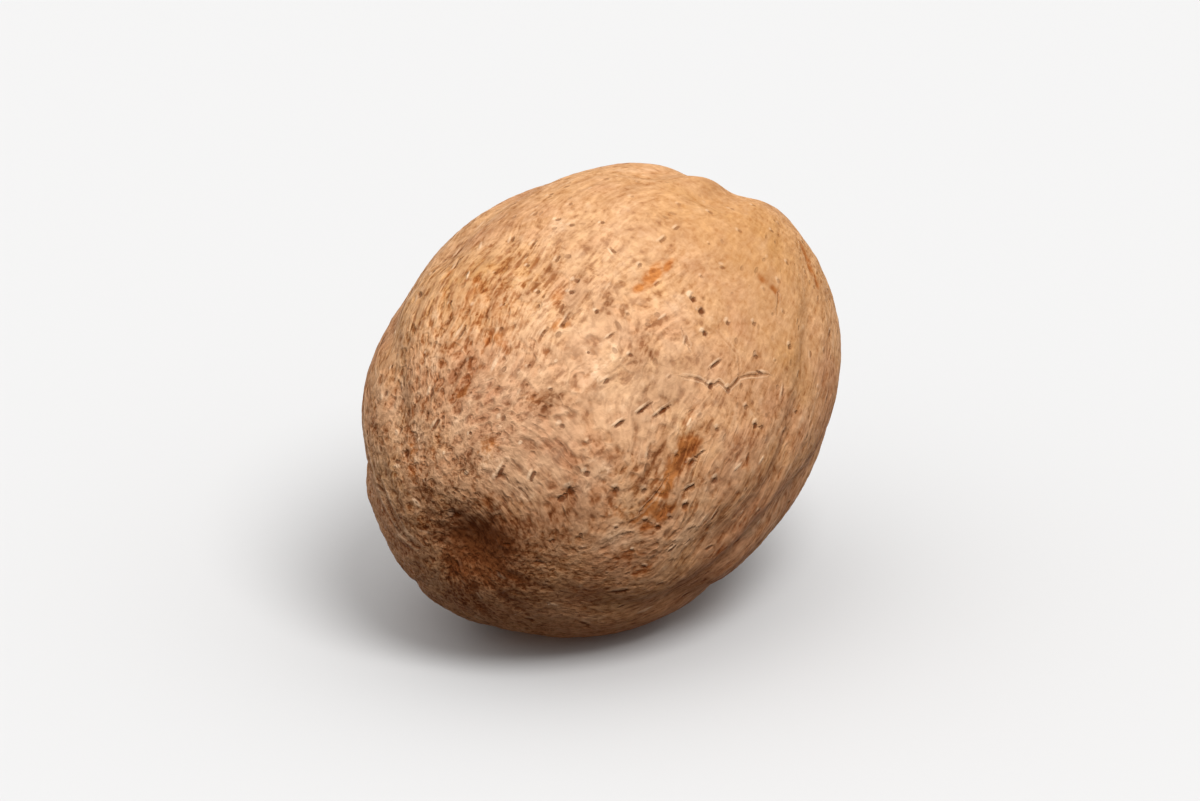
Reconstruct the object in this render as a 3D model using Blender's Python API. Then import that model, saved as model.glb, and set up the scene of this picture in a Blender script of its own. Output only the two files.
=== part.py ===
"""A whole nutmeg: the dried, shelled seed of one piece, lying on its side.

Metres, +Z up. The seed's long axis runs close to X. Its hilum end, where the
seed hung from the fruit, is at -X and dips a little; the chalaza is at +X.
The seed rests on a small flat spot at Z = 0.
"""

import math
import random

import bmesh
import bpy
import numpy as np
from mathutils import Vector

# ---------------------------------------------------------------- sizes (m)
LENGTH = 0.0255            # pole to pole, before the furrows are pressed in
WIDTH = 0.0191             # across the middle
HEIGHT = 0.0190
TILT = math.radians(10.8)  # hilum end down
SEAT_BELOW_CENTRE = 0.00921  # from the seed's middle down to the flat spot
SEAT_CALM = 0.0012         # the furrows fade out over this height above it
ORIGIN_SHIFT = (0.00007, -0.000035)  # puts the footprint's middle on the origin

TAPER = 0.018              # how much slimmer the chalaza end is
LUMP_HEIGHT = 0.00003     # each of the broad swellings of the dried kernel
LUMP_COUNT = 12

# Broad furrows that run from pole to pole. Each one: longitude round the long
# axis in degrees (0 is +Y, 90 is up, 180 is -Y), how far it drifts over the
# length, its depth and half width in mm, and its two ends as stations along
# the axis from -1 (hilum) to +1 (chalaza).
FURROWS = (
    (117, -22, 0.10, 0.70, -0.80, 0.20),
    (112, -8, 0.42, 1.10, 0.34, 0.86),
    (178, -45, 0.17, 0.80, -0.50, 0.50),
    (206, -16, 0.26, 1.00, -0.50, 0.62),
    (228, 10, 0.20, 0.90, -0.85, 0.70),
    (252, -14, 0.24, 0.85, -0.75, 0.30),
    (283, 12, 0.30, 0.95, -0.80, 0.80),
    (316, -10, 0.22, 0.85, -0.70, 0.86),
    (334, 14, 0.28, 1.00, -0.80, 0.75),
    (352, -8, 0.24, 0.85, -0.70, 0.82),
    (16, 16, 0.30, 0.95, -0.85, 0.60),
    (37, -12, 0.24, 0.85, -0.90, 0.85),
    (60, 10, 0.18, 0.80, -0.30, 0.88),
    (87, 4, 0.38, 1.20, 0.36, 0.97),
)
# The raphe, the wider groove that joins hilum and chalaza.
RAPHE = (300, 6, 0.30, 1.7, -0.60, 0.95)

# Round hollows: direction (x, y, z), depth and radius in mm.
HOLLOWS = (
    (-0.988, -0.13, 0.0, 0.80, 1.60),     # hilum
    (0.985, 0.06, -0.16, 0.45, 1.30),     # chalaza
    (-0.30, 0.86, 0.42, 0.18, 2.6),
    (0.80, 0.0, 0.60, 0.35, 2.0),
    (0.10, -0.93, -0.35, 0.14, 2.2),
    (0.55, 0.55, -0.62, 0.20, 2.4),
)

SEED_COLOUR = (0.49, 0.30, 0.165, 1.0)
ICO_LEVELS = 5             # 5120 faces


def lumps(d):
    """Broad, soft swellings: a sum of plane waves with fixed directions."""
    rng = random.Random(23)
    total = np.zeros(len(d))
    for _ in range(LUMP_COUNT):
        k = np.array([rng.gauss(0, 1) for _ in range(3)])
        k *= rng.uniform(3.0, 6.5) / np.linalg.norm(k)
        total += np.sin(d @ k + rng.uniform(0, 2 * math.pi))
    return total * LUMP_HEIGHT


def window(t, start, end, soft=0.16):
    """1 between two stations along the axis, easing to 0 past each."""
    rise = np.clip((t - start) / soft + 0.5, 0, 1)
    fall = np.clip((end - t) / soft + 0.5, 0, 1)
    rise, fall = rise * rise * (3 - 2 * rise), fall * fall * (3 - 2 * fall)
    return rise * fall


def groove(d, longitude, drift, depth, half_width, start, end):
    """How deep one pole-to-pole furrow is at each direction, in metres."""
    t = d[:, 0]
    here = np.arctan2(d[:, 2], d[:, 1])
    wave = 3.5 * np.sin(5.0 * t + longitude) + 2.0 * np.sin(9.0 * t + 2.1 * longitude)
    middle = np.radians(longitude + drift * t + wave)
    turn = (here - middle + math.pi) % (2 * math.pi) - math.pi
    across = turn * 0.5 * WIDTH * 1000 * np.sqrt(np.clip(1 - t * t, 0, 1))
    return 0.001 * depth * np.exp(-((across / half_width) ** 2)) * window(t, start, end)


def relief(d):
    """Height of the kernel's surface over its plain egg shape, in metres."""
    h = lumps(d)
    for f in FURROWS + (RAPHE,):
        h -= groove(d, *f)
    for x, y, z, depth, radius in HOLLOWS:
        c = np.array([x, y, z])
        c /= np.linalg.norm(c)
        away = np.linalg.norm(
            (d - c) * np.array([LENGTH, WIDTH, HEIGHT]) * 500, axis=1
        )
        h -= 0.001 * depth * np.exp(-((away / radius) ** 2))
    return h


def seed_points(d):
    """Points of the seed's surface for unit directions d, as it lies."""
    half = np.array([LENGTH, WIDTH, HEIGHT]) / 2
    points = d * half
    points[:, 1:] *= (1 - TAPER * d[:, :1])
    normal = d / half
    normal /= np.linalg.norm(normal, axis=1, keepdims=True)
    c, s = math.cos(TILT), math.sin(TILT)
    above = points[:, 0] * s + points[:, 2] * c + SEAT_BELOW_CENTRE
    calm = np.clip(above / SEAT_CALM + 0.2, 0.15, 1)
    points += normal * (relief(d) * calm)[:, None]
    x = points[:, 0] * c - points[:, 2] * s
    z = points[:, 0] * s + points[:, 2] * c
    return np.stack(
        [x + ORIGIN_SHIFT[0], points[:, 1] + ORIGIN_SHIFT[1], z + SEAT_BELOW_CENTRE],
        axis=1,
    )


def seed_material():
    material = bpy.data.materials.new("nutmeg_kernel")
    material.use_nodes = True
    shader = material.node_tree.nodes["Principled BSDF"]
    shader.inputs["Base Color"].default_value = SEED_COLOUR
    shader.inputs["Roughness"].default_value = 0.68
    shader.inputs["Metallic"].default_value = 0.0
    return material


def build():
    for old in list(bpy.data.objects):
        bpy.data.objects.remove(old)

    bm = bmesh.new()
    bmesh.ops.create_icosphere(bm, subdivisions=ICO_LEVELS, radius=1.0)
    bm.verts.ensure_lookup_table()
    d = np.array([v.co for v in bm.verts], float)
    d /= np.linalg.norm(d, axis=1, keepdims=True)
    for v, p in zip(bm.verts, seed_points(d)):
        v.co = Vector(p)

    # The flat spot: everything below Z = 0 is sliced off and the cut is capped.
    cut = bmesh.ops.bisect_plane(
        bm,
        geom=bm.verts[:] + bm.edges[:] + bm.faces[:],
        dist=1e-7,
        plane_co=(0, 0, 0),
        plane_no=(0, 0, -1),
        clear_outer=True,
    )
    rim = [e for e in cut["geom_cut"] if isinstance(e, bmesh.types.BMEdge)]
    bmesh.ops.contextual_create(bm, geom=rim)
    bmesh.ops.dissolve_degenerate(bm, dist=4e-5, edges=bm.edges[:])
    bmesh.ops.recalc_face_normals(bm, faces=bm.faces[:])

    mesh = bpy.data.meshes.new("nutmeg")
    bm.to_mesh(mesh)
    bm.free()
    mesh.shade_smooth()
    mesh.set_sharp_from_angle(angle=math.radians(40))
    mesh.materials.append(seed_material())
    seed = bpy.data.objects.new("nutmeg", mesh)
    bpy.context.scene.collection.objects.link(seed)


build()
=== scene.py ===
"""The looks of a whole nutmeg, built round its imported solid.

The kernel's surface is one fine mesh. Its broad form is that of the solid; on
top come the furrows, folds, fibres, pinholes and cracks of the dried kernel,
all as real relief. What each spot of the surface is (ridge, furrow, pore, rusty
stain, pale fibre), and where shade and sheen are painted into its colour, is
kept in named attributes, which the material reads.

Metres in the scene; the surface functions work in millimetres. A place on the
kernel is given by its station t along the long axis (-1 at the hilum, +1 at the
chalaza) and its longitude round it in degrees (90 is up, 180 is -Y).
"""

import math
import random

import bpy
import numpy as np
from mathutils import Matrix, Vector


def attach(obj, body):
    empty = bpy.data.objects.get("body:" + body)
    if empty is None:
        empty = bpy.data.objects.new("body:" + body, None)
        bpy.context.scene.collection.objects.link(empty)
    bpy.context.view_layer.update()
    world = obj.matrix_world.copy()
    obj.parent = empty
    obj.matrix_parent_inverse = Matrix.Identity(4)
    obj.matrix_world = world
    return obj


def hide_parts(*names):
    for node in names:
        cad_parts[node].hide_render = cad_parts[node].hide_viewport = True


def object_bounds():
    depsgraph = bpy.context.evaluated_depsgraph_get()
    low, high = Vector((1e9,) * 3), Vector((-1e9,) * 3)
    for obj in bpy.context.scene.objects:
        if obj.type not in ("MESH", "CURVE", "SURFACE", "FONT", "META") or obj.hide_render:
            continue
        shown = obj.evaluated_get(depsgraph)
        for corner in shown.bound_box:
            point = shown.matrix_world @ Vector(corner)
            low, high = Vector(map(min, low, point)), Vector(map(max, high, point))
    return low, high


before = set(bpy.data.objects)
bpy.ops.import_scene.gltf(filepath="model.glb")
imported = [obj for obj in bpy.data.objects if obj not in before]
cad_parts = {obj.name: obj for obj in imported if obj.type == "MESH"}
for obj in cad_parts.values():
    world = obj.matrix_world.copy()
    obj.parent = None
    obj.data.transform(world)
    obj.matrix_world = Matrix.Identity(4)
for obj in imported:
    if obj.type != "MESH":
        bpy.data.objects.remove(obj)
CAD_BOX = [[float(v) for v in corner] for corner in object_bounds()]

# ------------------------------------------------------------------ the form
# The same broad form as the solid, in metres.
LENGTH, WIDTH, HEIGHT = 0.0255, 0.0191, 0.0190
TILT = math.radians(10.8)
SEAT_BELOW_CENTRE = 0.00921
SEAT_CALM = 0.0012
ORIGIN_SHIFT = (0.00007, -0.000035)
TAPER = 0.018
LUMP_HEIGHT = 0.00003
LUMP_COUNT = 12
FURROWS = (
    (117, -22, 0.10, 0.70, -0.80, 0.20),
    (112, -8, 0.42, 1.10, 0.34, 0.86),
    (178, -45, 0.17, 0.80, -0.50, 0.50),
    (206, -16, 0.26, 1.00, -0.50, 0.62),
    (228, 10, 0.20, 0.90, -0.85, 0.70),
    (252, -14, 0.24, 0.85, -0.75, 0.30),
    (283, 12, 0.30, 0.95, -0.80, 0.80),
    (316, -10, 0.22, 0.85, -0.70, 0.86),
    (334, 14, 0.28, 1.00, -0.80, 0.75),
    (352, -8, 0.24, 0.85, -0.70, 0.82),
    (16, 16, 0.30, 0.95, -0.85, 0.60),
    (37, -12, 0.24, 0.85, -0.90, 0.85),
    (60, 10, 0.18, 0.80, -0.30, 0.88),
    (87, 4, 0.38, 1.20, 0.36, 0.97),
)
RAPHE = (300, 6, 0.30, 1.7, -0.60, 0.95)
HOLLOWS = (
    (-0.988, -0.13, 0.0, 0.80, 1.60),
    (0.985, 0.06, -0.16, 0.45, 1.30),
    (-0.30, 0.86, 0.42, 0.18, 2.6),
    (0.80, 0.0, 0.60, 0.35, 2.0),
    (0.10, -0.93, -0.35, 0.14, 2.2),
    (0.55, 0.55, -0.62, 0.20, 2.4),
)


def lumps(d):
    rng = random.Random(23)
    total = np.zeros(len(d))
    for _ in range(LUMP_COUNT):
        k = np.array([rng.gauss(0, 1) for _ in range(3)])
        k *= rng.uniform(3.0, 6.5) / np.linalg.norm(k)
        total += np.sin(d @ k + rng.uniform(0, 2 * math.pi))
    return total * LUMP_HEIGHT


def window(t, start, end, soft=0.16):
    rise = np.clip((t - start) / soft + 0.5, 0, 1)
    fall = np.clip((end - t) / soft + 0.5, 0, 1)
    rise, fall = rise * rise * (3 - 2 * rise), fall * fall * (3 - 2 * fall)
    return rise * fall


def groove(d, longitude, drift, depth, half_width, start, end):
    t = d[:, 0]
    here = np.arctan2(d[:, 2], d[:, 1])
    wave = 3.5 * np.sin(5.0 * t + longitude) + 2.0 * np.sin(9.0 * t + 2.1 * longitude)
    middle = np.radians(longitude + drift * t + wave)
    turn = (here - middle + math.pi) % (2 * math.pi) - math.pi
    across = turn * 0.5 * WIDTH * 1000 * np.sqrt(np.clip(1 - t * t, 0, 1))
    return 0.001 * depth * np.exp(-((across / half_width) ** 2)) * window(t, start, end)


def relief(d):
    h = lumps(d)
    for f in FURROWS + (RAPHE,):
        h -= groove(d, *f)
    for x, y, z, depth, radius in HOLLOWS:
        c = np.array([x, y, z])
        c /= np.linalg.norm(c)
        away = np.linalg.norm(
            (d - c) * np.array([LENGTH, WIDTH, HEIGHT]) * 500, axis=1
        )
        h -= 0.001 * depth * np.exp(-((away / radius) ** 2))
    return h


# --------------------------------------------------------------- noise tools
def _tables(seed):
    rng = np.random.default_rng(seed)
    order = rng.permutation(256)
    slopes = rng.normal(size=(256, 3))
    slopes /= np.linalg.norm(slopes, axis=1, keepdims=True)
    return order, slopes


def noise(p, seed):
    """Gradient noise, about -1 to 1, with a lattice of 1 unit."""
    order, slopes = _tables(seed)
    cell = np.floor(p).astype(int)
    f = p - cell
    u = f * f * f * (f * (f * 6 - 15) + 10)
    out = np.zeros(len(p))
    for cx in (0, 1):
        wx = u[:, 0] if cx else 1 - u[:, 0]
        ax = order[(cell[:, 0] + cx) & 255]
        for cy in (0, 1):
            wy = u[:, 1] if cy else 1 - u[:, 1]
            ay = order[(ax + cell[:, 1] + cy) & 255]
            for cz in (0, 1):
                wz = u[:, 2] if cz else 1 - u[:, 2]
                g = slopes[order[(ay + cell[:, 2] + cz) & 255]]
                away = f - np.array([cx, cy, cz])
                out += wx * wy * wz * np.einsum("ij,ij->i", g, away)
    return out * 1.6


def fbm(p, seed, octaves, gain=0.5):
    total, size, most = 0, 1.0, 0.0
    for k in range(octaves):
        total = total + size * noise(p * 2.03**k + 17.1 * k, seed + k)
        most += size * size
        size *= gain
    return total / math.sqrt(most)


def smooth(x, low, high):
    x = np.clip((x - low) / (high - low), 0, 1)
    return x * x * (3 - 2 * x)


def smooth_floor(girth, knee):
    """1 along the sides, falling with the girth once it is under the knee."""
    x = girth / knee
    return 0.5 * (x + 1 - np.sqrt((x - 1) ** 2 + 0.02))


# ------------------------------------------------------------- the fine mesh
SIDE = 127  # squares along each edge of the six-sided sphere: 193,548 triangles


def round_cube(side):
    """Unit directions and squares of a sphere made from a cube's six sides."""
    index = {}
    spots, squares = [], []
    steps = [round(2 * k - side) for k in range(side + 1)]

    def spot(a):
        if a not in index:
            index[a] = len(spots)
            spots.append(a)
        return index[a]

    for axis in range(3):
        for sign in (-1, 1):
            one, two = (axis + 1) % 3, (axis + 2) % 3
            grid = []
            for i in steps:
                row = []
                for j in steps:
                    a = [0, 0, 0]
                    a[axis], a[one], a[two] = sign * side, i, j
                    row.append(spot(tuple(a)))
                grid.append(row)
            for i in range(side):
                for j in range(side):
                    q = (grid[i][j], grid[i + 1][j], grid[i + 1][j + 1], grid[i][j + 1])
                    squares.append(q if sign > 0 else q[::-1])
    a = np.array(spots, float) / side
    d = np.tan(a * math.pi / 4)
    d /= np.linalg.norm(d, axis=1, keepdims=True)
    return d, np.array(squares, np.int32)


def arc_lengths():
    """Station along the axis to millimetres along the surface from the middle."""
    angle = np.linspace(-math.pi / 2, math.pi / 2, 721)
    a, b = LENGTH * 500, WIDTH * 500
    step = np.hypot(a * np.cos(angle), b * np.sin(angle))
    s = np.concatenate([[0], np.cumsum((step[1:] + step[:-1]) / 2 * np.diff(angle))])
    return np.sin(angle), s - s[-1] / 2


def winding(longitude):
    """How much the fibres turn round the kernel there, in radians."""
    return 1.0 * smooth(longitude, 112, 192) * (1 - smooth(longitude, 205, 320))


class Surface:
    """Every point of the kernel's skin, with its place, relief and colouring."""

    def __init__(self, side):
        self.d, self.squares = round_cube(side)
        d = self.d
        half = np.array([LENGTH, WIDTH, HEIGHT]) * 500
        self.mm = d * half
        self.t = d[:, 0]
        self.girth = np.sqrt(np.clip(1 - self.t**2, 0, 1))
        self.turn = np.arctan2(d[:, 2], d[:, 1])
        stations, lengths = arc_lengths()
        self.along = np.interp(self.t, stations, lengths)
        # the fibres wander a little from the straight line between the poles
        q = self.mm
        sway = 0.085 * noise(q / 6.5, 501) + 0.06 * noise(q / 2.9, 502)
        slip = 0.9 * noise(q / 4.0, 503) + 0.35 * noise(q / 1.7, 504)
        self.bent = self.turn + sway * smooth(self.girth, 0.1, 0.5)
        # on the low near side they wind, some 60 degrees from end to end
        self.bent += np.clip(self.t, -0.62, 0.8) * winding(np.degrees(self.turn) % 360)
        self.slid = self.along + slip
        self.height = np.zeros(len(d))  # mm over the broad form
        self.marks = {}
        # small crisp marks: each point near one knows where it is from the
        # mark's middle, in its half lengths and half widths, and its strength
        self.spots = np.zeros((len(d), 3))
        self.spot_near = np.full(len(d), 99.0)
        self.spot_owner = np.zeros(len(d), int)
        # the same for lines: signed distance in half widths, and strength
        self.seams = np.zeros((len(d), 3))
        self.seam_near = np.full(len(d), 99.0)
        self.seam_owner = np.zeros(len(d), int)

    def drawn(self, across, along, seed):
        """Noise drawn out from pole to pole. Towards the poles the streaks
        run together instead of growing thinner."""
        level = np.log2(np.clip(1 / np.maximum(self.girth, 1e-3), 1, 24))
        low = np.floor(level)
        part = level - low
        part = part * part * (3 - 2 * part)
        total, power = 0, 0
        for step, share in ((low, 1 - part), (low + 1, part)):
            ring = WIDTH * 500 / across / 2**step
            p = np.stack(
                [
                    np.cos(self.bent) * ring,
                    np.sin(self.bent) * ring,
                    self.slid / along + 31.7 * step,
                ],
                axis=1,
            )
            total = total + share * noise(p, seed)
            power = power + share * share
        return total / np.sqrt(power)

    def place(self, t, longitude):
        """Millimetre position on the plain form, and the two directions along
        and across the fibres there."""
        a = math.radians(longitude)
        g = math.sqrt(max(1 - t * t, 1e-6))
        half = np.array([LENGTH, WIDTH, HEIGHT]) * 500
        at = np.array([t, g * math.cos(a), g * math.sin(a)]) * half
        lengthwise = np.array([g, -t * math.cos(a), -t * math.sin(a)]) * half
        lengthwise /= np.linalg.norm(lengthwise)
        out = at / half**2
        out /= np.linalg.norm(out)
        return at, lengthwise, np.cross(out, lengthwise)

    def near(self, at, reach):
        """Indexes of the points within reach of a place, found by cells."""
        if not hasattr(self, "cells"):
            self.cells = {}
            key = np.floor(self.mm).astype(int)
            order = np.lexsort(key.T)
            ranked = key[order]
            cut = np.flatnonzero(np.any(np.diff(ranked, axis=0), axis=1)) + 1
            for group in np.split(order, cut):
                self.cells[tuple(key[group[0]])] = group
        low = np.floor(at - reach).astype(int)
        high = np.floor(at + reach).astype(int)
        found = [
            self.cells[(i, j, k)]
            for i in range(low[0], high[0] + 1)
            for j in range(low[1], high[1] + 1)
            for k in range(low[2], high[2] + 1)
            if (i, j, k) in self.cells
        ]
        return np.concatenate(found) if found else np.zeros(0, int)

    def spot(self, t, longitude, long, wide, skew=0.0, aside=0.0):
        """Points near a place and how strongly a soft oval there takes them in:
        half length and half width in mm, skew in degrees from the fibres, and
        how far aside the oval lies, square to its length, in mm."""
        at, lengthwise, crosswise = self.place(t, longitude)
        who = self.near(at, 2.3 * max(long, wide) + abs(aside))
        away = self.mm[who] - at
        a, b = away @ lengthwise, away @ crosswise
        c, s = math.cos(math.radians(skew)), math.sin(math.radians(skew))
        a, b = a * c + b * s, b * c - a * s
        return who, np.exp(-((a / long) ** 2) - ((b - aside) / wide) ** 2)

    def blob(self, t, longitude, radius):
        """A soft round area, over every point."""
        at, _, _ = self.place(t, longitude)
        away = np.linalg.norm(self.mm - at, axis=1)
        return np.exp(-((away / radius) ** 2))

    def path(self, stops, wide, ragged=0.0, seed=0):
        """How strongly a soft band through stops of (t, longitude) takes in
        every point. A third number in a stop is the band's strength there."""
        at = [self.place(s[0], s[1])[0] for s in stops]
        power = [s[2] if len(s) > 2 else 1.0 for s in stops]
        take = np.zeros(len(self.d))
        points = self.mm
        if ragged:
            points = points + ragged * np.stack(
                [noise(self.mm / 0.8 + 5.3 * k, seed + k) for k in (0, 1, 2)], 1
            )
        for (p, q), (g, h) in zip(zip(at, at[1:]), zip(power, power[1:])):
            line = q - p
            f = np.clip((points - p) @ line / (line @ line), 0, 1)
            away = np.linalg.norm(points - (p + f[:, None] * line), axis=1)
            take = np.maximum(take, (g + (h - g) * f) * np.exp(-((away / wide) ** 2)))
        return take

    def crisp(self, t, longitude, long, wide, skew, strength, shy=False):
        """A small crisp oval mark. A shy one keeps clear of the others. Gives
        the points near it and their distance from its middle, or nothing."""
        at, lengthwise, crosswise = self.place(t, longitude)
        who = self.near(at, long + 0.55)
        away = self.mm[who] - at
        a, b = away @ lengthwise, away @ crosswise
        c, s = math.cos(math.radians(skew)), math.sin(math.radians(skew))
        a, b = a * c + b * s, b * c - a * s
        x, y = a / long, b / wide
        r = np.hypot(x, y)
        outside = np.hypot(np.maximum(np.abs(a) - long, 0), np.maximum(np.abs(b) - wide, 0))
        keep = outside < 0.50
        who, x, y, r, outside = who[keep], x[keep], y[keep], r[keep], outside[keep]
        if shy and (self.spot_owner[who] > 0).any():
            return None
        owner = self.spot_owner.max() + 1
        better = r < self.spot_near[who]
        w = who[better]
        self.spots[w] = np.stack([x, y, np.where(outside < 0.27, strength, 0)], 1)[better]
        self.spot_near[w] = r[better]
        self.spot_owner[w] = owner
        return who, r

    def seam(self, stops, wide, strength, ragged, seed):
        """A crisp line through stops of (t, longitude[, strength])."""
        shift = ragged * np.stack(
            [noise(self.mm / 0.8 + 5.3 * k, seed + k) for k in (0, 1, 2)], 1
        )
        points = self.mm + shift
        out = self.mm / (np.array([LENGTH, WIDTH, HEIGHT]) * 500) ** 2
        out /= np.linalg.norm(out, axis=1)[:, None]
        at = [self.place(p[0], p[1])[0] for p in stops]
        power = [p[2] if len(p) > 2 else 1.0 for p in stops]
        owner = self.seam_owner.max() + 1
        for (p, q), (g, h) in zip(zip(at, at[1:]), zip(power, power[1:])):
            line = q - p
            raw = (points - p) @ line / (line @ line)
            f = np.clip(raw, 0, 1)
            gap = points - (p + f[:, None] * line)
            away = np.linalg.norm(gap, axis=1)
            side = np.sign(np.einsum("ij,ij->i", np.cross(out, line), points - p))
            who = np.flatnonzero((away < wide + 0.50) & (away / wide < self.seam_near))
            k = strength * (g + (h - g) * f[who]) * (away[who] < wide + 0.27)
            self.seams[who] = np.stack([side[who] * away[who] / wide, k, 0 * k], 1)
            self.seam_near[who] = away[who] / wide
            self.seam_owner[who] = owner
        return np.exp(-(np.minimum(self.seam_near, 9) ** 2)) * (self.seam_owner == owner)

    def part_marks(self):
        """Where two marks meet, their outer points fall silent, so that
        nothing false shows between them."""
        for owner, near, value in (
            (self.spot_owner, self.spot_near, self.spots[:, 2]),
            (self.seam_owner, self.seam_near, self.seams[:, 1]),
        ):
            mine = owner[self.squares]
            mixed = self.squares[(mine.min(1) > 0) & (mine.min(1) != mine.max(1))]
            who = np.unique(mixed)
            value[who[near[who] > 1.2]] = 0

    def mark(self, name):
        if name not in self.marks:
            self.marks[name] = np.zeros(len(self.d))
        return self.marks[name]

    def deepen(self, name, who, amount):
        m = self.mark(name)
        m[who] = np.maximum(m[who], amount)


# What the kernel's skin carries at set places, as (t, longitude, ...).
# Pinholes: radius in mm, darkness.
PINHOLES = (
    (-0.082, 131, 0.19, 1.15),
    (-0.090, 135, 0.20, 1.1),
    (-0.141, 140, 0.17, 1.05),
    (-0.244, 152, 0.16, 0.95),
    (-0.187, 156, 0.16, 0.8),
    (-0.028, 142, 0.14, 0.75),
    (0.081, 147, 0.13, 0.6),
    (0.002, 154, 0.12, 0.6),
    (0.187, 159, 0.15, 0.7),
    (-0.302, 163, 0.14, 0.75),
    (-0.136, 169, 0.16, 0.9),
    (-0.108, 171, 0.13, 0.6),
    (0.013, 178, 0.15, 0.7),
    (-0.374, 176, 0.17, 0.9),
    (-0.601, 183, 0.17, 0.9),
    (-0.478, 163, 0.14, 0.6),
    (-0.575, 172, 0.12, 0.6),
    (-0.560, 181, 0.14, 0.6),
    (-0.640, 179, 0.13, 0.6),
    (-0.150, 163, 0.13, 0.5),
    (-0.501, 179, 0.17, 0.8),
    (-0.807, 155, 0.22, 1.1),
    (-0.832, 156, 0.17, 0.9),
    (-0.700, 163, 0.15, 0.75),
    (-0.626, 168, 0.15, 0.60),
    (-0.753, 152, 0.15, 0.8),
    (-0.729, 132, 0.14, 0.7),
    (-0.806, 112, 0.15, 0.8),
    (-0.989, 115, 0.20, 1.0),
    (-0.911, 54, 0.20, 0.9),
    (-0.855, 50, 0.15, 0.8),
    (-0.829, 58, 0.14, 0.7),
    (-0.736, 43, 0.16, 0.75),
    (-0.073, 87, 0.14, 0.7),
    (-0.088, 92, 0.13, 0.7),
    (-0.321, 105, 0.14, 0.8),
    (-0.368, 106, 0.14, 0.85),
    (0.92, 250, 0.26, 1.0),
)
# Dark dashes: half length and half width in mm, skew from the fibres, strength.
DASHES = (
    (-0.505, 145, 0.42, 0.10, 0, 1.0),
    (-0.600, 144, 0.30, 0.10, 0, 0.9),
    (-0.455, 149, 0.46, 0.11, 0, 1.0),
    (-0.437, 167, 0.24, 0.17, 8, 1.0),
    (-0.400, 166, 0.30, 0.09, 0, 0.8),
    (-0.477, 174, 0.30, 0.11, 5, 0.85),
    (-0.185, 148, 0.40, 0.09, 0, 0.85),
    (-0.225, 138, 0.26, 0.09, 30, 0.6),
    (-0.614, 80, 0.36, 0.14, -12, 0.85),
    (-0.791, 74, 0.30, 0.15, -10, 0.8),
    (-0.479, 110, 0.36, 0.10, 0, 0.8),
    (-0.537, 107, 0.30, 0.10, 0, 0.6),
    (-0.138, 107, 0.24, 0.10, 60, 0.7),
    (-0.128, 115, 0.18, 0.10, 0, 0.6),
    (0.038, 114, 0.26, 0.10, 0, 0.55),
    (0.127, 114, 0.20, 0.10, 0, 0.6),
    (-0.262, 96, 0.26, 0.10, 10, 0.65),
    (-0.207, 79, 0.26, 0.11, 20, 0.65),
    (-0.211, 59, 0.30, 0.12, -10, 0.7),
    (-0.313, 64, 0.34, 0.13, 10, 0.75),
    (-0.416, 54, 0.26, 0.15, 20, 0.75),
    (-0.350, 45, 0.34, 0.13, 0, 0.8),
    (-0.020, 158, 0.28, 0.10, -48, 0.8),
    (-0.385, 187, 0.36, 0.11, 48, 0.9),
    (0.509, 169, 0.24, 0.12, 0, 0.65),
    (-0.914, 44, 0.26, 0.13, 60, 0.8),
)
# Rusty stains: half length, half width, skew, strength, browning.
STAINS = (
    (-0.125, 119, 0.80, 0.36, 4, 1.10, 0.05),
    (-0.048, 120, 0.50, 0.18, 8, 1.10, 0.30),
    (-0.205, 119, 0.44, 0.24, 0, 0.9, 0.1),
    (-0.428, 162, 0.62, 0.50, 0, 1.15, 0.50),
    (-0.486, 164, 0.34, 0.32, 0, 1.0, 0.6),
    (-0.560, 178, 0.60, 0.42, 12, 0.95, 0.5),
    (-0.618, 96, 0.90, 0.45, 60, 0.55),
    (-0.624, 91, 0.50, 0.24, -10, 0.7),
    (-0.590, 127, 0.80, 0.42, 0, 0.34),
    (-0.43, 77, 0.70, 0.36, 20, 0.6),
    (-0.36, 64, 0.80, 0.36, 0, 0.55),
    (-0.46, 66, 0.45, 0.22, 0, 0.6),
    (-0.640, 200, 0.70, 0.40, 20, 0.5),
    (-0.324, 202, 0.80, 0.45, 10, 0.5),
)
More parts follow.
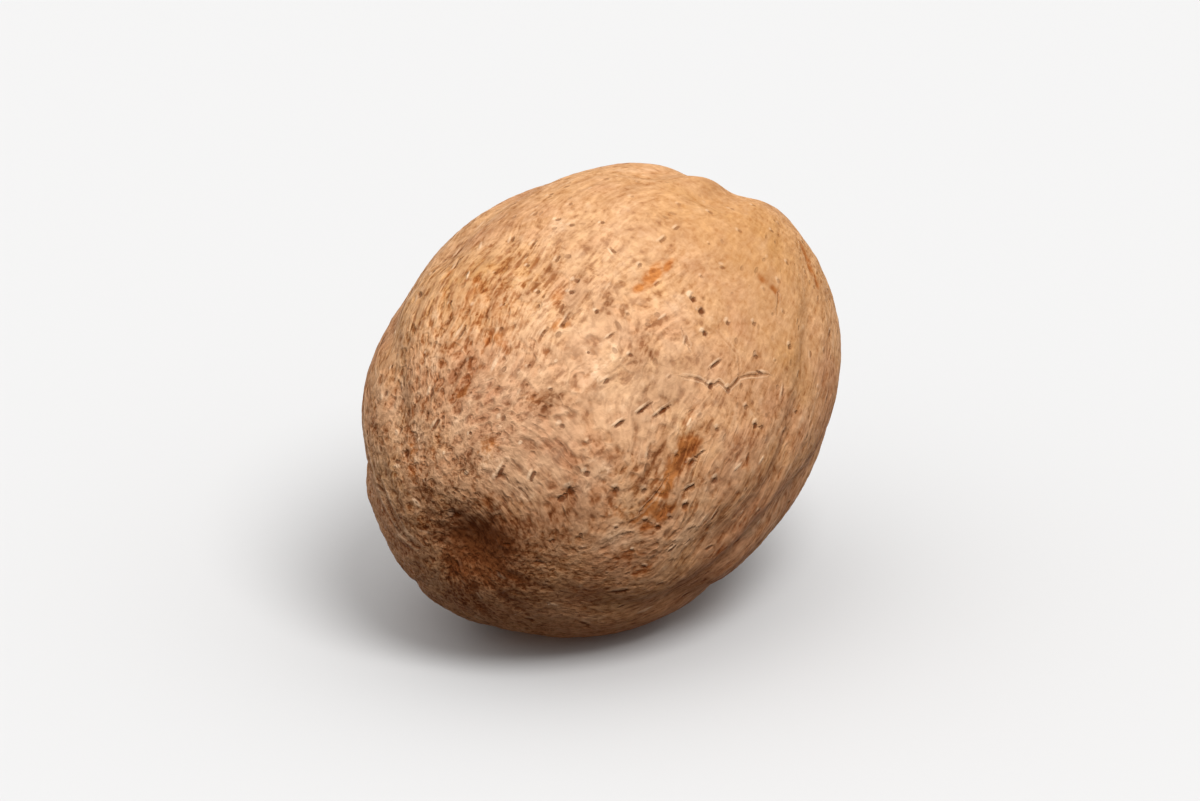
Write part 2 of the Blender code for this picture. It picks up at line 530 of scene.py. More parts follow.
# Brown furrowed dashes and lines: stops, half width, depth in mm, darkness, rust.
LINES = (
    # a hairline crack that winds round a small bump
    (((-0.321, 145, 0.5), (-0.280, 148), (-0.244, 152)), 0.09, 0.05, 0.40, 0),
    (((-0.244, 152), (-0.205, 152), (-0.187, 156), (-0.118, 155), (-0.057, 157), (0.012, 160, 0.5)), 0.09, 0.05, 0.45, 0),
    (((-0.091, 142, 0.6), (-0.085, 147), (-0.075, 150), (-0.118, 155)), 0.08, 0.04, 0.14, 0),
    (((-0.217, 136, 0.5), (-0.231, 139, 0.8)), 0.09, 0.04, 0.35, 0),
    # a short furrow high on the far shoulder
    (((0.250, 138, 0.6), (0.276, 143), (0.278, 146)), 0.24, 0.07, 0.48, 0.85),
    (((0.278, 146), (0.215, 149, 0.4)), 0.12, 0.05, 0.3, 0.4),
    # the smear on the far edge
    (((0.665, 142, 0.6), (0.630, 147), (0.600, 150), (0.580, 155, 0.8)), 0.34, 0.05, 0.38, 0.85),
    # rusty groove below the middle, dark along one side
    (((-0.45, 163, 0.8), (-0.53, 168), (-0.575, 172), (-0.650, 177)), 0.42, 0.08, 0, 1.10),
    (((-0.555, 173, 0.4), (-0.600, 180, 1.0), (-0.655, 181, 0.8)), 0.36, 0.05, 0, 0.95),
    (((-0.545, 168, 0.5), (-0.590, 171), (-0.645, 174, 0.7)), 0.12, 0.05, 0.45, 0),
    # red-brown streak above the hilum
    (((-0.715, 93, 0.6), (-0.746, 91), (-0.783, 90), (-0.805, 86, 0.7)), 0.20, 0.06, 0.45, 0.9),
    (((-0.869, 77, 0.5), (-0.911, 76), (-0.941, 78, 0.7)), 0.17, 0.05, 0.35, 0.3),
)
# Raised pale lines beside darker ones, that follow the edge round the hilum.
RIDGES = (
    (((-0.643, 28, 0.6), (-0.711, 24), (-0.826, 19), (-0.897, 10), (-0.946, 356), (-0.971, 341), (-0.983, 327, 0.6)), 0.13),
    (((-0.902, 21, 0.6), (-0.956, 11), (-0.977, 354), (-0.990, 336, 0.6)), 0.12),
)
TROUGHS = ((((-0.860, 24, 0.5), (-0.930, 10), (-0.963, 350), (-0.985, 330, 0.8)), 0.12),)


def make_surface():
    s = Surface(SIDE)
    q = s.mm
    t = s.t
    cloud = noise(q / 7.0, 11)
    ends = smooth(s.girth, 0.30, 0.62)  # 0 at the poles, 1 on the sides
    hilum = s.blob(-1.0, 0, 3.4)

    # How wrinkled each part of the kernel is: one side dried smooth, the other
    # side and the far end shrank into folds.
    centre, _, _ = s.place(-0.25, 132)
    centre = centre / np.linalg.norm(centre)
    off = np.degrees(np.arccos(np.clip(s.d @ centre, -1, 1)))
    rough = 0.05 + 0.95 * smooth(off + 12 * cloud, 84, 130)
    above = q[:, 0] * math.sin(TILT) + q[:, 2] * math.cos(TILT) + SEAT_BELOW_CENTRE * 1000
    seat = smooth(above, 0.5, 1.8)

    # Folds that part and join again from pole to pole.
    n = s.drawn(2.4, 8.5, 21) + 0.45 * s.drawn(1.15, 4.2, 22)
    valley = np.exp(-((n / 0.19) ** 2))
    n = s.drawn(1.3, 5.0, 23) + 0.40 * s.drawn(0.6, 2.4, 24)
    crease = np.exp(-((n / 0.19) ** 2))
    patchy = smooth(noise(q / 3.3, 25), -0.25, 0.5)
    s.height -= rough * seat * (0.22 * valley + 0.09 * crease * patchy)
    s.height += rough * seat * 0.06 * s.drawn(1.9, 5.0, 26)

    # Everywhere: soft swells, and a busy, pebbly skin with short fibres.
    # It is busiest round the hilum and calmest on the far upper shoulder.
    busy = 0.70 + 0.40 * s.blob(-0.80, 85, 6.5) + 0.18 * cloud
    busy -= 0.42 * s.blob(0.50, 112, 8.0) + 0.22 * s.blob(0.25, 142, 4.5)
    busy += 0.24 * s.blob(-0.62, 165, 4.2)
    busy = np.clip(busy, 0.20, 1.1)
    s.mark("busy")[:] = busy
    s.height += 0.035 * s.drawn(1.7, 4.5, 31) + 0.030 * noise(q / 1.5, 32)
    fibre = s.drawn(0.42, 1.3, 41)
    band = s.drawn(0.95, 3.4, 42)
    pebble = noise(q / 0.40, 43) + 0.50 * noise(q / 0.25, 44)
    blotch = noise(q / 1.1, 51) + 0.3 * band
    worm = np.exp(-((noise(q / 0.45, 45) + 0.4 * fibre) / 0.16) ** 2)
    s.height += busy * (0.014 * fibre * ends + 0.026 * pebble - 0.020 * worm)

    furrow, pale, dark = s.mark("furrow"), s.mark("pale"), s.mark("dark")
    rust, zone = s.mark("rust"), s.mark("zone")
    # darker where the folds' valleys and creases are carved: painted shade
    furrow += rough * (0.70 * valley + 0.40 * crease * patchy)
    furrow += 0.16 * crease * (1 - rough) * ends
    furrow += (0.07 + 0.60 * busy) * smooth(-band - 0.5 * fibre, 0.1, 1.0)
    furrow += 0.48 * busy * smooth(-pebble - 0.2 * band, 0.15, 0.9)
    pale += (0.10 + 0.68 * busy) * smooth(band + 0.6 * fibre + 0.3 * pebble, 0.2, 1.1)
    pale += busy * 0.52 * smooth(pebble, 0.2, 0.9)
    furrow += 0.26 * busy * smooth(-blotch, 0.05, 0.75)
    pale += 0.34 * busy * smooth(blotch, 0.05, 0.75)
    dark += busy * 0.30 * worm * smooth(pebble, 0.5, -0.4)

    # yellowish tan on the upper shoulder, pinkish brown low down and at the hilum: partly the kernel's own
    # tint, partly painted light on top and painted shade with warm bounce light low down
    zone += 0.30 * cloud + 0.12 * noise(q / 2.6, 46)
    zone += 0.85 * s.blob(0.45, 122, 5.5) + 1.10 * s.blob(-0.42, 70, 3.4)
    zone += 0.50 * s.blob(0.18, 158, 1.8) + 0.45 * s.blob(0.05, 70, 3.0)
    zone -= 0.55 * s.blob(-0.80, 100, 4.8) + 0.50 * s.blob(-0.20, 200, 4.2)
    # paler, less brown patches over the near side: partly the skin's own pale tint, partly painted sheen; near
    # the hilum, at t about -0.9, they are painted light that offsets the shade on its slope
    pale += 0.30 * s.blob(-0.12, 104, 3.0) + 0.32 * s.blob(-0.48, 112, 2.2)
    pale += 0.34 * s.blob(-0.26, 144, 1.9) + 0.2 * s.blob(-0.85, 132, 1.6)
    pale += 0.22 * s.blob(-0.44, 143, 1.5) + 0.34 * s.blob(-0.504, 138, 2.0) + 0.32 * s.blob(-0.72, 118, 2.2)
    pale += 0.30 * s.blob(-0.89, 110, 2.0) - 0.30 * s.blob(-0.50, 78, 3.3)
    furrow -= 0.16 * s.blob(-0.90, 118, 2.4)
    furrow -= 0.14 * s.blob(-0.40, 130, 3.2)
    rust += 0.36 * s.blob(-0.50, 80, 3.3)

    # the hilum's pit has a raised, folded rim; its darker colour, round the hollow and on its slope, is painted
    # shade
    s.height += 0.12 * np.exp(-(((s.along - s.along.min() - 2.6) / 0.85) ** 2)) * (
        0.6 + 0.5 * noise(q / 1.4, 47)
    )
    furrow += 0.85 * s.blob(-0.990, 190, 2.4) + 0.60 * s.blob(-0.975, 215, 4.4)
    furrow += 0.22 * s.blob(-0.930, 168, 2.6)
    dark += 0.30 * s.blob(-0.992, 165, 1.3)
    # the fan of folds in the hilum is carved, and darkened with painted shade
    fan = s.drawn(0.9, 2.6, 48)
    s.height -= 0.07 * hilum * np.exp(-((fan / 0.2) ** 2))
    furrow += 0.35 * hilum * np.exp(-((fan / 0.2) ** 2))

    # Set features.
    for tt, ll, radius, k in PINHOLES:
        who, w = s.spot(tt, ll, radius * 1.1, radius * 0.95)
        s.height[who] -= 0.09 * k * w
        s.crisp(tt, ll, radius * 0.95, radius * 0.80, 0, min(k, 1.0))
    for tt, ll, long, wide, skew, k in DASHES:
        who, w = s.spot(tt, ll, long, max(wide, 0.11), skew)
        s.height[who] -= 0.06 * k * w
        s.crisp(tt, ll, long, wide * 0.72, skew, k)
    broken = 0.82 + 0.60 * noise(q / 0.42, 49)
    for tt, ll, long, wide, skew, k, *brown in STAINS:
        who, w = s.spot(tt, ll, long, wide, skew)
        s.height[who] -= 0.03 * k * w
        s.deepen("rust", who, k * w * broken[who])
        if brown:
            furrow[who] += brown[0] * w * broken[who]
    ragged = 0.75 + 0.8 * noise(q / 0.45, 50)
    for k, (stops, wide, depth, darkness, rusty) in enumerate(LINES):
        line = s.path(stops, wide, 0.07, 60 + 3 * k) * np.clip(ragged, 0.25, 1)
        s.height -= depth * line
        s.deepen("rust", slice(None), rusty * line)
        furrow += 0.42 * rusty * line
        if darkness and wide < 0.16:
            s.seam(stops, 0.060, darkness, 0.07, 60 + 3 * k)
        elif darkness:
            s.deepen("dark", slice(None), darkness * line)
    for k, (stops, wide) in enumerate(RIDGES):
        line = s.path(stops, wide, 0.05, 140 + 3 * k)
        s.height += 0.05 * line
        s.seam(stops, 0.11, -0.65, 0.05, 140 + 3 * k)
    for k, (stops, wide) in enumerate(TROUGHS):
        line = s.path(stops, wide, 0.05, 180 + 3 * k)
        s.height -= 0.06 * line
        s.seam(stops, 0.080, 0.7, 0.05, 180 + 3 * k)
    s.height += 0.05 * s.blob(-0.13, 150, 0.9)
    # soft lengthwise furrows down the side, carved, and darkened with painted shade
    side = s.path(((0.45, 158, 0.3), (0.30, 164), (0.19, 171), (0.0, 178), (-0.16, 187), (-0.27, 191), (-0.33, 200, 0.5)), 0.62, 0.16, 72)
    s.height -= 0.05 * side
    furrow += 0.26 * side
    side = s.path(((0.35, 186, 0.3), (0.23, 194), (0.165, 207), (0.08, 219), (-0.1, 228, 0.3)), 0.50, 0.14, 75)
    s.height -= 0.10 * side
    furrow += 0.40 * side
    side = s.path(((-0.06, 186, 0.2), (-0.20, 205), (-0.45, 214), (-0.7, 222, 0.4)), 0.40, 0.14, 78)
    s.height -= 0.08 * side
    furrow += 0.35 * side
    # folds that run into the hilum, carved, and darkened with painted shade
    for k, (l0, l1) in enumerate(((22, 4), (6, 348), (350, 335), (40, 20), (215, 205), (238, 228), (262, 250))):
        fold = s.path(((-0.80, l0, 0.2), (-0.90, (l0 * 0.5 + l1 * 0.5) if abs(l0 - l1) < 90 else l0 - 6), (-0.968, l1 if abs(l0 - l1) < 90 else l0 - 14, 0.9)), 0.24, 0.10, 81 + 3 * k)
        s.height -= 0.07 * fold
        furrow += 0.45 * fold

    # Scattered dashes, pinholes, pale flecks and small tan stains.
    rng = random.Random(71)
    for _ in range(5200):
        x = rng.uniform(-1, 1)
        lon = rng.uniform(0, 360)
        luck, size, tone, turn = (rng.random() for _ in range(4))
        at, _, _ = s.place(x, lon)
        who = s.near(at, 0.25)
        if not len(who):
            continue
        b = busy[who[0]]
        if luck > 0.34 + 0.73 * b:
            continue
        still = 1 - smooth(b, 0.75, 1.0)  # dashes there, dots where it is busiest
        round_ = b < 0.50 or size < 0.30 + 0.35 * (1 - still)
        # in the calm skin they are larger and softer
        wide = 0.050 + 0.045 * rng.random() + 0.045 * (1 - min(b, 1)) * tone
        long = wide * (1.3 if round_ else 2.2 + 2.6 * rng.random())
        skew = rng.gauss(0, 14)
        g = math.sqrt(1 - x * x)
        skew += math.degrees(math.atan(winding(lon) * 0.75 * g)) * (abs(x) < 0.62)
        k = (0.35 + 0.6 * tone) * (0.50 + 0.50 * min(b, 1))
        if turn < 0.36:
            # a pale fleck, faint in the calm skin and in the folds
            k = -min(1.0, 1.5 * k) * (0.30 + 0.70 * smooth(b, 0.35, 0.75))
            k *= 1 - 0.6 * rough[who[0]]
            wide *= 1.15
            long *= 1.15
        s.crisp(x, lon, long, wide, skew, k, shy=True)
    s.part_marks()
    for _ in range(170):
        x = rng.uniform(-1, 1)
        lon = rng.uniform(0, 360)
        size = rng.uniform(0.22, 0.55)
        k = rng.uniform(0.20, 0.52)
        who, w = s.spot(x, lon, size * rng.uniform(1, 2.0), size, rng.uniform(-25, 25))
        if len(who):
            k *= smooth(busy[who[np.argmax(w)]], 0.4, 0.9)
        s.deepen("rust", who, k * w)
    return s


def seated(s):
    """The skin's points in metres, as the kernel lies on its flat spot."""
    half = np.array([LENGTH, WIDTH, HEIGHT]) / 2
    d = s.d
    points = d * half
    points[:, 1:] *= 1 - TAPER * d[:, :1]
    normal = d / half
    normal /= np.linalg.norm(normal, axis=1, keepdims=True)
    c, sn = math.cos(TILT), math.sin(TILT)
    above = points[:, 0] * sn + points[:, 2] * c + SEAT_BELOW_CENTRE
    calm = np.clip(above / SEAT_CALM + 0.2, 0.15, 1)
    points += normal * (relief(d) * calm + 0.001 * s.height)[:, None]
    x = points[:, 0] * c - points[:, 2] * sn
    z = points[:, 0] * sn + points[:, 2] * c
    out = np.stack(
        [x + ORIGIN_SHIFT[0], points[:, 1] + ORIGIN_SHIFT[1], z + SEAT_BELOW_CENTRE], 1
    )
    return out


def drawn_in(p):
    """Each side of the skin, scaled so that it reaches no further than the
    solid's own box."""
    for axis in range(3):
        for sign, limit in zip((-1, 1), (CAD_BOX[0][axis], CAD_BOX[1][axis])):
            side = p[:, axis] * sign > 0
            if side.any():
                reach = (p[side, axis] * sign).max()
                p[side, axis] *= min(1.0, (limit * sign - 0.00001) / reach)
    return p


def build_mesh(s):
    p = seated(s)
    # the flat spot: what would reach below it is pressed flat
    p[:, 2] = np.maximum(p[:, 2], 0.0)
    p = drawn_in(p)
    mesh = bpy.data.meshes.new("nutmeg_skin")
    mesh.vertices.add(len(p))
    mesh.vertices.foreach_set("co", p.astype(np.float32).ravel())
    n = len(s.squares)
    mesh.loops.add(4 * n)
    mesh.loops.foreach_set("vertex_index", s.squares.ravel())
    mesh.polygons.add(n)
    mesh.polygons.foreach_set("loop_start", np.arange(0, 4 * n, 4, dtype=np.int32))
    mesh.update(calc_edges=True)
    mesh.validate()
    mesh.shade_smooth()
    for name, values in s.marks.items():
        a = mesh.attributes.new(name, "FLOAT", "POINT")
        a.data.foreach_set("value", values.astype(np.float32))
    for name, values in (("spot", s.spots), ("seam", s.seams)):
        a = mesh.attributes.new(name, "FLOAT_VECTOR", "POINT")
        a.data.foreach_set("vector", values.astype(np.float32).ravel())
    ring = WIDTH * 500 * smooth_floor(s.girth, 0.75)
    v = np.stack([np.cos(s.bent) * ring, np.sin(s.bent) * ring, s.slid], 1)
    a = mesh.attributes.new("grain", "FLOAT_VECTOR", "POINT")
    a.data.foreach_set("vector", v.astype(np.float32).ravel())
    return mesh


# ---------------------------------------------------------------- materials
class Nodes:
    """Short names for building a material's node tree."""

    def __init__(self, name):
        self.material = bpy.data.materials.new(name)
        self.material.use_nodes = True
        self.tree = self.material.node_tree
        self.shader = self.tree.nodes["Principled BSDF"]

    def new(self, kind, **values):
        node = self.tree.nodes.new(kind)
        for key, value in values.items():
            setattr(node, key, value)
        return node

    def link(self, a, b):
        self.tree.links.new(a, b)

    def attribute(self, name):
        node = self.new("ShaderNodeAttribute", attribute_name=name)
        return node

    def math(self, op, a, b=None, c=None, clamp=False):
        node = self.new("ShaderNodeMath", operation=op, use_clamp=clamp)
        for k, v in enumerate((a, b, c)):
            if v is None:
                continue
            if isinstance(v, (int, float)):
                node.inputs[k].default_value = v
            else:
                self.link(v, node.inputs[k])
        return node.outputs[0]

    def ramp(self, value, stops, ease="LINEAR"):
        node = self.new("ShaderNodeValToRGB")
        node.color_ramp.interpolation = ease
        while len(node.color_ramp.elements) < len(stops):
            node.color_ramp.elements.new(0.5)
        for e, (at, colour) in zip(node.color_ramp.elements, stops):
            e.position = at
            e.color = (*colour, 1)
        self.link(value, node.inputs[0])
        return node.outputs[0]

    def mix(self, factor, a, b, kind="MIX"):
        node = self.new("ShaderNodeMix", data_type="RGBA", blend_type=kind)
        node.clamp_factor = True
        for socket, v in ((node.inputs[0], factor), (node.inputs[6], a), (node.inputs[7], b)):
            if isinstance(v, (int, float)):
                socket.default_value = v
            elif isinstance(v, tuple):
                socket.default_value = (*v, 1)
            else:
                self.link(v, socket)
        return node.outputs[2]

    def noise(self, vector, scale, detail=2.0, rough=0.5, warp=0.0):
        node = self.new("ShaderNodeTexNoise")
        self.link(vector, node.inputs["Vector"])
        node.inputs["Scale"].default_value = scale
        node.inputs["Detail"].default_value = detail
        node.inputs["Roughness"].default_value = rough
        node.inputs["Distortion"].default_value = warp
        return node.outputs[0]

    def cells(self, vector):
        node = self.new("ShaderNodeTexVoronoi")
        node.inputs["Scale"].default_value = 1.0
        self.link(vector, node.inputs["Vector"])
        return node.outputs

    def axes(self, vector):
        node = self.new("ShaderNodeSeparateXYZ")
        self.link(vector, node.inputs[0])
        return node.outputs

    def length(self, x, y):
        return self.math("SQRT", self.math("MULTIPLY_ADD", x, x, self.math("MULTIPLY", y, y)))

    def part(self, colour):
        """One channel of a colour, as a number."""
        node = self.new("ShaderNodeSeparateColor")
        self.link(colour, node.inputs[0])
        return node.outputs[0]

    def step(self, value, start, end):
        """Softly from 0 at start to 1 at end, which may be the smaller one."""
        node = self.new("ShaderNodeMapRange", interpolation_type="SMOOTHSTEP")
        node.inputs["From Min"].default_value = start
        node.inputs["From Max"].default_value = end
        self.link(value, node.inputs["Value"])
        return node.outputs[0]

    def scaled(self, vector, by):
        node = self.new("ShaderNodeVectorMath", operation="MULTIPLY")
        self.link(vector, node.inputs[0])
        node.inputs[1].default_value = by
        return node.outputs[0]


def srgb(r, g, b):
    return tuple(
        (v / 255 / 12.92) if v <= 10.31 else ((v / 255 + 0.055) / 1.055) ** 2.4
        for v in (r, g, b)
    )


def kernel_material():
    m = Nodes("nutmeg_kernel")
    grain = m.attribute("grain").outputs["Vector"]
    where = m.new("ShaderNodeTexCoord").outputs["Object"]
    zone = m.attribute("zone").outputs["Fac"]
    busy = m.attribute("busy").outputs["Fac"]
    furrow = m.attribute("furrow").outputs["Fac"]
    pale = m.attribute("pale").outputs["Fac"]
    dark = m.attribute("dark").outputs["Fac"]
    rust = m.attribute("rust").outputs["Fac"]

    # cloudy change of the skin from pinkish brown to yellowish tan; where the zone sets it, this is partly
    # painted light on top and painted shade low down
    cloud = m.noise(where, 420, 3, 0.6)
    cloud = m.math("MULTIPLY_ADD", m.math("SUBTRACT", cloud, 0.5), 0.8, 0.45)
    cloud = m.math("MULTIPLY_ADD", zone, 0.45, cloud)
    skin = m.ramp(
        cloud,
        (
            (0.05, srgb(180, 118, 80)),
            (0.35, srgb(202, 146, 104)),
            (0.60, srgb(212, 160, 112)),
            (0.95, srgb(204, 149, 92)),
        ),
    )
    # fine fibres and grit, lighter and darker, drawn a little along the kernel
    thin = m.noise(m.scaled(grain, (3.7, 3.7, 1.8)), 1.0, 2, 0.6)
    lines = m.noise(m.scaled(grain, (5.2, 5.2, 0.95)), 1.0, 1, 0.55, 0.35)
    grit = m.noise(where, 3300, 2, 0.6, 0.6)
    rocky = m.step(busy, 0.50, 0.95)
    threads = m.math("MULTIPLY", m.step(busy, 0.20, 0.85), 0.38)
    threads = m.math("MULTIPLY", m.math("SUBTRACT", lines, 0.5), threads)
    both = m.math("MULTIPLY_ADD", thin, 0.44, m.math("MULTIPLY", grit, 0.34))
    both = m.math("ADD", m.math("SUBTRACT", both, 0.39), threads)
    amount = m.math("MULTIPLY_ADD", busy, 1.65, 0.16)
    both = m.math("MULTIPLY_ADD", both, amount, 0.5)
    tone = m.ramp(
        both,
        (
            (0.36, (0.48, 0.32, 0.18)),
            (0.45, (0.86, 0.77, 0.66)),
            (0.51, (1.0, 1.0, 1.0)),
            (0.60, (1.28, 1.34, 1.40)),
        ),
    )
    skin = m.mix(0.85, skin, tone, "MULTIPLY")

    # pebbled skin: pale between the pebbles' brown middles, and dark pin pricks
    drift = m.new("ShaderNodeVectorMath", operation="MULTIPLY_ADD")
    swirl = m.new("ShaderNodeTexNoise")
    swirl.inputs["Scale"].default_value = 1500
    swirl.inputs["Detail"].default_value = 1
    m.link(where, swirl.inputs["Vector"])
    m.link(swirl.outputs["Color"], drift.inputs[0])
    drift.inputs[1].default_value = (1.3, 1.3, 1.3)
    m.link(m.scaled(grain, (1.6, 1.6, 1.15)), drift.inputs[2])
    pebbles = m.cells(drift.outputs[0])
    rim = m.step(pebbles["Distance"], 0.36, 0.66)
    core = m.step(pebbles["Distance"], 0.30, 0.10)
    core = m.math("MULTIPLY", core, m.step(m.part(pebbles["Color"]), 0.15, 0.9))
    holes = m.cells(m.scaled(grain, (1.45, 1.45, 1.15)))
    prick = m.step(holes["Distance"], 0.22, 0.11)
    prick = m.math("MULTIPLY", prick, m.step(m.part(holes["Color"]), 0.25, 0.80))
    some = m.math("MULTIPLY", m.math("MULTIPLY_ADD", rocky, 0.65, 0.35), busy, clamp=True)
    rim = m.math("MULTIPLY", rim, some)
    core = m.math("MULTIPLY", core, some)
    prick = m.math("MULTIPLY", prick, m.math("MULTIPLY_ADD", busy, 0.50, 0.42), clamp=True)

    # crisp spots, dark or pale, each dark one with a paler lip on one side, which is a painted highlight
    grainy = m.math("MULTIPLY", m.math("SUBTRACT", grit, 0.5), 1.6)
    x, y, power = m.axes(m.attribute("spot").outputs["Vector"])
    r = m.math("ADD", m.length(x, y), grainy)
    spot = m.step(r, 1.35, 0.40)
    hole = m.math("MULTIPLY", spot, m.math("MAXIMUM", power, 0.0))
    fleck_and_highlight = m.math("MULTIPLY", spot, m.math("MAXIMUM", m.math("MULTIPLY", power, -1.0), 0.0))
    painted_lip_highlight = m.length(m.math("MULTIPLY", x, 0.8), m.math("SUBTRACT", y, 1.9))
    painted_lip_highlight = m.math("MULTIPLY", m.step(m.math("ADD", painted_lip_highlight, grainy), 1.2, 0.3), m.math("MAXIMUM", power, 0.0))
    # and lines, each dark one with a painted highlight along both sides
    y, power, _ = m.axes(m.attribute("seam").outputs["Vector"])
    line = m.step(m.math("ADD", m.math("ABSOLUTE", y), grainy), 1.35, 0.40)
    crack = m.math("MULTIPLY", line, m.math("MAXIMUM", power, 0.0))
    ridge = m.math("MULTIPLY", line, m.math("MAXIMUM", m.math("MULTIPLY", power, -1.0), 0.0))
    painted_beside_highlight = m.math("ABSOLUTE", m.math("SUBTRACT", m.math("ABSOLUTE", m.math("SUBTRACT", y, 0.4)), 2.0))
    painted_beside_highlight = m.math("MULTIPLY", m.step(m.math("ADD", painted_beside_highlight, grainy), 1.0, 0.3), m.math("MAXIMUM", power, 0.0))
    hole = m.math("MAXIMUM", hole, crack)
    fleck_and_highlight = m.math("MAXIMUM", fleck_and_highlight, ridge)
    # the painted highlights by the dark marks join the pale flecks and ridges
    fleck_and_highlight = m.math("MAXIMUM", fleck_and_highlight, m.math("MULTIPLY", m.math("MAXIMUM", painted_lip_highlight, painted_beside_highlight), 0.8))

    dark = m.math("MULTIPLY", dark, 0.60, clamp=True)
    rust = m.math("SUBTRACT", rust, m.math("MULTIPLY", m.math("SUBTRACT", both, 0.5), 0.9))
    rust = m.step(rust, 0.10, 0.70)

    # paler skin, partly painted sheen over the near side
    skin = m.mix(m.math("MULTIPLY", pale, 0.52, clamp=True), skin, srgb(242, 205, 168))
    skin = m.mix(m.math("MULTIPLY", rim, 0.38), skin, srgb(238, 194, 152))
    skin = m.mix(m.math("MULTIPLY", core, 0.62), skin, srgb(140, 84, 46))
    skin = m.mix(rust, skin, (0.86, 0.56, 0.29), "MULTIPLY")
    # browner skin in the mottle, the stains and the furrows; in the carved folds, the side furrows and the
    # hilum's hollow this is painted shade
    skin = m.mix(m.math("MULTIPLY", furrow, 0.62, clamp=True), skin, srgb(122, 70, 36))
    # the skin's grain goes on through the furrows, the hollow and the palest skin
    through = m.math("MULTIPLY", m.step(furrow, 0.35, 1.1), 0.75)
    light = m.math("MULTIPLY", m.step(pale, 0.45, 1.2), 0.45)
    skin = m.mix(m.math("MAXIMUM", through, light), skin, tone, "MULTIPLY")
    plain = m.math("SUBTRACT", 1.0, m.math("MULTIPLY", furrow, 0.5), clamp=True)
    fleck_and_highlight = m.math("MULTIPLY", fleck_and_highlight, plain)
    # pale flecks and ridges, with the painted highlights by the dark marks
    skin = m.mix(m.math("MULTIPLY", fleck_and_highlight, 0.80), skin, srgb(255, 220, 182))
    skin = m.mix(m.math("MULTIPLY", prick, 0.50), skin, srgb(112, 60, 26))
    # dark marks, and painted shade in the hilum's pit
    skin = m.mix(dark, skin, srgb(96, 46, 16))
    skin = m.mix(m.math("MULTIPLY", hole, 0.90), skin, srgb(102, 46, 8))
    m.link(skin, m.shader.inputs["Base Color"])

    gloss = m.ramp(both, ((0.35, (0.78,) * 3), (0.65, (0.54,) * 3)))
    gloss = m.mix(m.math("MAXIMUM", dark, hole), gloss, (1.0, 1.0, 1.0))
    m.link(gloss, m.shader.inputs["Roughness"])
    m.shader.inputs["Specular IOR Level"].default_value = 0.09
    m.shader.inputs["Metallic"].default_value = 0.0

    level = m.math("ADD", m.math("MULTIPLY", thin, 0.6), m.math("MULTIPLY", grit, 0.5))
    level = m.math("MULTIPLY_ADD", threads, 1.3, level)
    level = m.math("MULTIPLY", level, m.math("MULTIPLY_ADD", busy, 1.1, 0.15))
    level = m.math("ADD", level, m.math("MULTIPLY", rim, 0.6))
    level = m.math("SUBTRACT", level, m.math("MULTIPLY", core, 0.7))
    level = m.math("SUBTRACT", level, m.math("MULTIPLY", prick, 0.7))
    level = m.math("SUBTRACT", level, m.math("MULTIPLY", hole, 1.0))
    level = m.math("ADD", level, m.math("MULTIPLY", fleck_and_highlight, 0.5))
    bump = m.new("ShaderNodeBump")
    bump.inputs["Strength"].default_value = 0.8
    bump.inputs["Distance"].default_value = 0.00008
    m.link(level, bump.inputs["Height"])
    m.link(bump.outputs[0], m.shader.inputs["Normal"])
    return m.material


def floor_material():
    m = Nodes("studio_floor")
    m.shader.inputs["Base Color"].default_value = (0.66, 0.66, 0.66, 1)
    m.shader.inputs["Roughness"].default_value = 0.9
    m.shader.inputs["Specular IOR Level"].default_value = 0.1
    return m.material


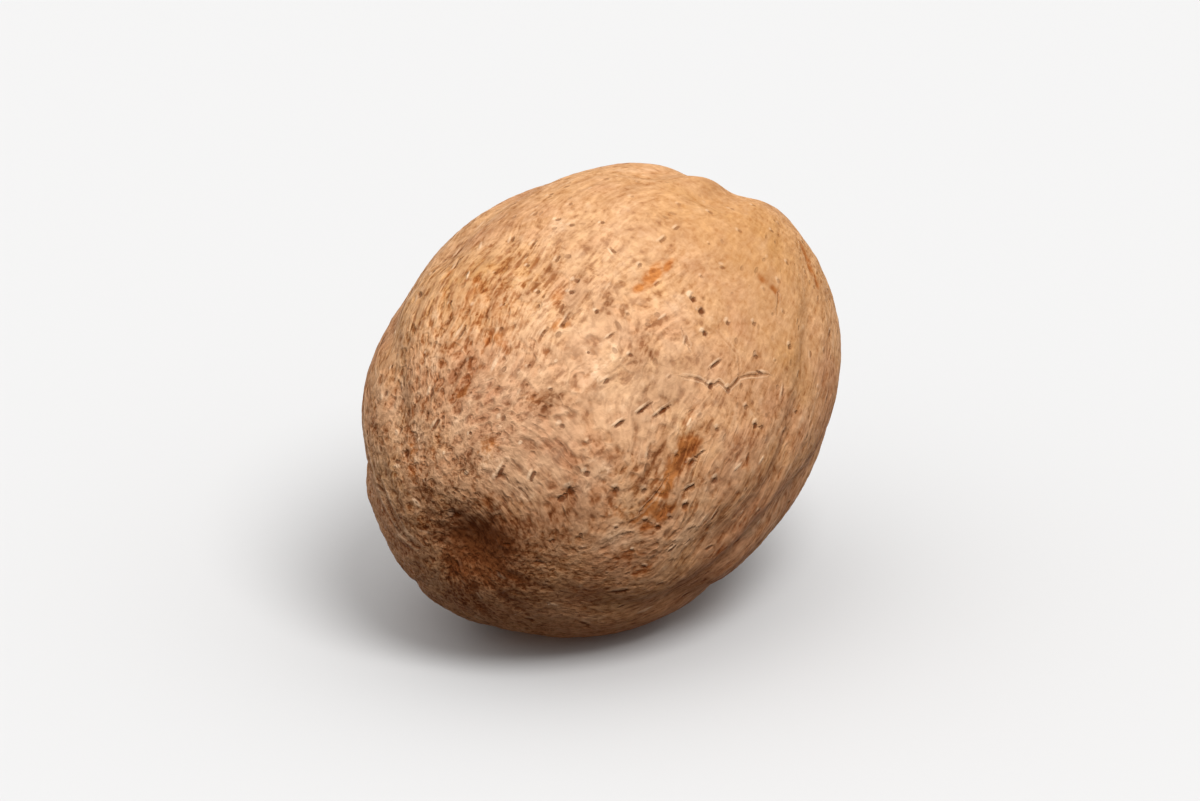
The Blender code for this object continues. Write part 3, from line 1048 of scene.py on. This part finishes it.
# -------------------------------------------------------------------- scene
def studio():
    world = bpy.data.worlds.new("studio")
    world.use_nodes = True
    tree = world.node_tree
    back = tree.nodes["Background"]
    # a white tent above the floor's level, and little light from below it
    where = tree.nodes.new("ShaderNodeTexCoord")
    parts = tree.nodes.new("ShaderNodeSeparateXYZ")
    tree.links.new(where.outputs["Generated"], parts.inputs[0])
    ramp = tree.nodes.new("ShaderNodeValToRGB")
    half = tree.nodes.new("ShaderNodeMath")
    half.operation = "MULTIPLY_ADD"
    half.inputs[1].default_value = 0.5
    half.inputs[2].default_value = 0.5
    tree.links.new(parts.outputs["Z"], half.inputs[0])
    tree.links.new(half.outputs[0], ramp.inputs[0])
    stops = (
        (-0.05, (0.060, 0.036, 0.022)),
        (0.0, (0.14, 0.094, 0.062)),
        (0.22, (0.42, 0.385, 0.36)),
        (0.55, (0.90, 0.90, 0.90)),
        (1.0, (1.15, 1.15, 1.15)),
    )
    while len(ramp.color_ramp.elements) < len(stops):
        ramp.color_ramp.elements.new(0.5)
    for e, (z, colour) in zip(ramp.color_ramp.elements, stops):
        e.position = z / 2 + 0.5
        e.color = (*colour, 1)
    tree.links.new(ramp.outputs[0], back.inputs[0])
    back.inputs[1].default_value = 1.0
    bpy.context.scene.world = world

    mesh = bpy.data.meshes.new("floor")
    r = 6.0
    mesh.from_pydata([(-r, -r, 0), (r, -r, 0), (r, r, 0), (-r, r, 0)], [], [(0, 1, 2, 3)])
    mesh.materials.append(floor_material())
    floor = bpy.data.objects.new("floor", mesh)
    bpy.context.scene.collection.objects.link(floor)
    floor.visible_diffuse = False  # it throws no light back up at the kernel

    a = math.radians(CAMERA_AZIMUTH + 28)
    toward = Vector((math.sin(a), -math.cos(a), 0))
    sun = bpy.data.lights.new("key", "SUN")
    sun.energy = 1.85
    sun.angle = math.radians(28)
    key = bpy.data.objects.new("key", sun)
    bpy.context.scene.collection.objects.link(key)
    e = math.radians(55)
    key.location = toward * 0.3 + Vector((0, 0, 0.5))
    aim = -(toward * math.cos(e) + Vector((0, 0, math.sin(e))))
    key.rotation_euler = aim.to_track_quat("-Z", "Y").to_euler()


CAMERA_AZIMUTH = -57.25
CAMERA_ELEVATION = 22.0
CAMERA_DISTANCE = 0.62


def camera():
    data = bpy.data.cameras.new("camera")
    data.sensor_width = 36
    data.lens = 430
    data.clip_start = 0.01
    cam = bpy.data.objects.new("camera", data)
    bpy.context.scene.collection.objects.link(cam)
    a, e = math.radians(CAMERA_AZIMUTH), math.radians(CAMERA_ELEVATION)
    back = Vector((math.sin(a) * math.cos(e), -math.cos(a) * math.cos(e), math.sin(e)))
    middle = Vector((0, 0, 0.0091))
    cam.location = middle + back * CAMERA_DISTANCE
    cam.rotation_mode = "QUATERNION"
    cam.rotation_quaternion = (-back).to_track_quat("-Z", "Y")
    bpy.context.scene.camera = cam
    bpy.context.scene.view_settings.view_transform = "Standard"


def main():
    surface = make_surface()
    mesh = build_mesh(surface)
    mesh.materials.append(kernel_material())
    skin = bpy.data.objects.new("nutmeg_skin", mesh)
    bpy.context.scene.collection.objects.link(skin)
    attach(skin, "root")
    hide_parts("nutmeg")
    studio()
    camera()


main()
